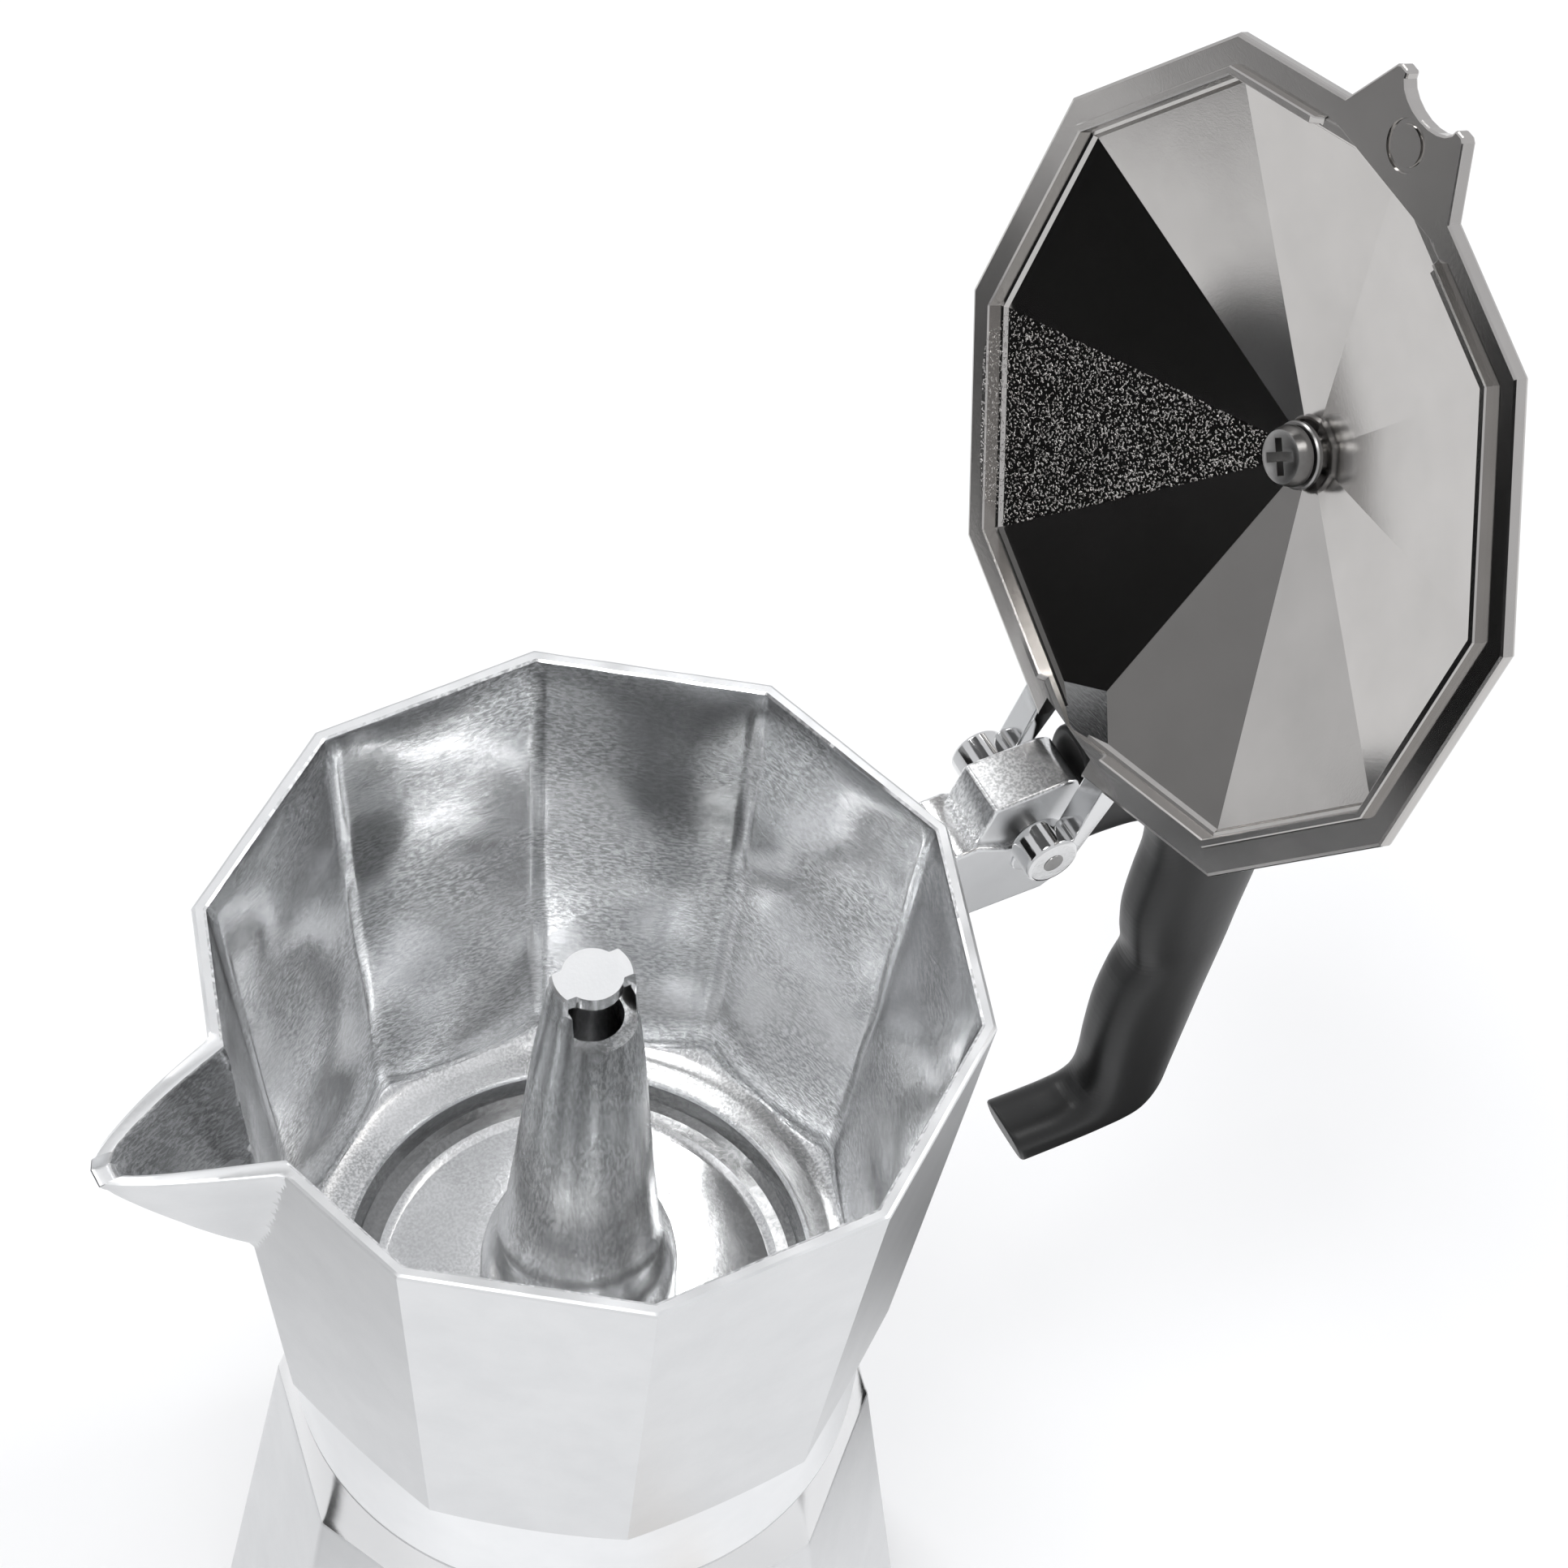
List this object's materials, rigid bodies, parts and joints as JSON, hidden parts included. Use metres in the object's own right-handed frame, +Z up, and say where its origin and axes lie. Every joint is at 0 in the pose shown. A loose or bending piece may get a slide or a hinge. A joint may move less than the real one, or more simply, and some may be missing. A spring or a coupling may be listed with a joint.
{
  "type": "moka pot",
  "caption": "Stovetop coffee maker: faceted aluminium boiler and screw-on collector with a spout, a hinged lid held open, a filter funnel and a black handle.",
  "frame": {"origin": "centre of the boiler's flat base", "axes": "+Z up, +X towards the lid hinge and the handle, -X towards the spout, +Y to the left of someone who looks along +X"},
  "size_m": [0.1869, 0.1008, 0.2781],
  "materials": {
    "aluminium": "satin cast outside, brushed inside, with a polished shoulder",
    "black_plastic": "glossy moulded heat-resistant plastic",
    "white_rubber": "matt silicone",
    "steel": "zinc-plated",
    "brass": "turned brass",
    "red_fibre": "pressed fibre"
  },
  "bodies": {
    "boiler": {"boiler": "aluminium", "safety_valve_body": "brass", "valve_washer": "red_fibre", "valve_nut": "brass", "valve_cap": "brass"},
    "valve": {"valve_poppet": "steel", "valve_spring": "steel"},
    "funnel": {"funnel": "aluminium", "funnel_screen": "aluminium"},
    "seal": {"gasket": "white_rubber", "filter_plate": "aluminium"},
    "collector": {"collector": "aluminium", "column": "aluminium", "hinge_pin": "steel", "handle": "black_plastic", "handle_pin": "steel"},
    "lid": {"lid": "aluminium", "knob": "black_plastic", "knob_washer": "steel", "knob_screw": "steel"}
  },
  "joints": [
    {"name": "valve_lift", "type": "slide", "parent": "boiler", "child": "valve", "axis": [0.1208, -0.9838, 0.1326], "range_m": [0, 0.0012], "stiffness_N_per_m": 400, "springref_m": -0.004},
    {"name": "funnel_lift", "type": "slide", "parent": "boiler", "child": "funnel", "axis": [0, 0, 1], "range_m": [0, 0.08]},
    {"name": "thread_rise", "type": "slide", "parent": "funnel", "child": "seal", "axis": [0, 0, 1], "range_m": [0, 0.0076]},
    {"name": "collector_unscrew", "type": "hinge", "parent": "seal", "child": "collector", "pos_m": [0, 0, 0.0895], "axis": [0, 0, 1], "range_deg": [0, 900]},
    {"name": "lid_hinge", "type": "hinge", "parent": "collector", "child": "lid", "pos_m": [0.0596, 0, 0.1705], "axis": [0, 1, 0], "range_deg": [-110.4, 0]}
  ],
  "couplings": [
    {"joint": "thread_rise", "follows": "collector_unscrew", "m_per_rad": 0.00047746}
  ]
}
